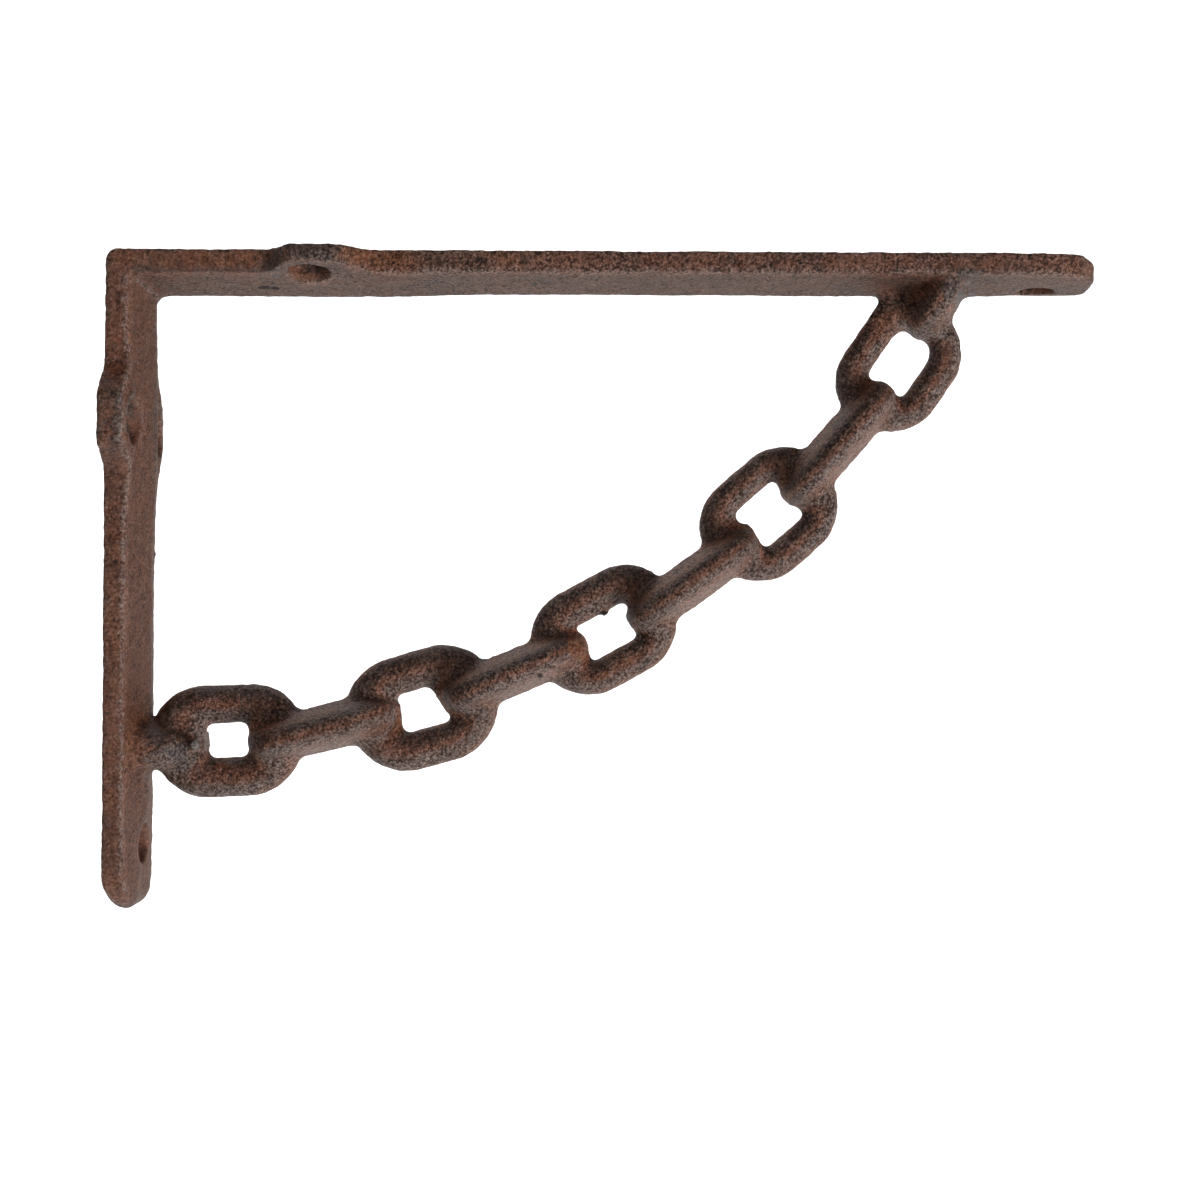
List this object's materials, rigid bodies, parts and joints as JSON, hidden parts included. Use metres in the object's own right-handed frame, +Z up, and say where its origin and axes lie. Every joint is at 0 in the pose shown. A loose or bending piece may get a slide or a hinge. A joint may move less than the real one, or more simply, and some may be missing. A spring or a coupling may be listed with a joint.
{
  "type": "chain-braced shelf bracket",
  "caption": "Cast iron L-shaped shelf bracket, braced across the corner by a curved length of heavy chain cast in one with it, with screw ears near the corner and a screw hole at each tip.",
  "frame": {"origin": "on the wall face, midway down the wall arm and midway between the front and the back", "axes": "+X out from the wall along the shelf arm, +Z up, Y across the width of the arms"},
  "size_m": [0.19, 0.0368, 0.127],
  "materials": {
    "rusted_cast_iron": "sand-cast grain, brown rust patina with dark slate patches and worn grey-brown high spots"
  },
  "bodies": {
    "root": {"chain_bracket": "rusted_cast_iron"}
  },
  "joints": []
}
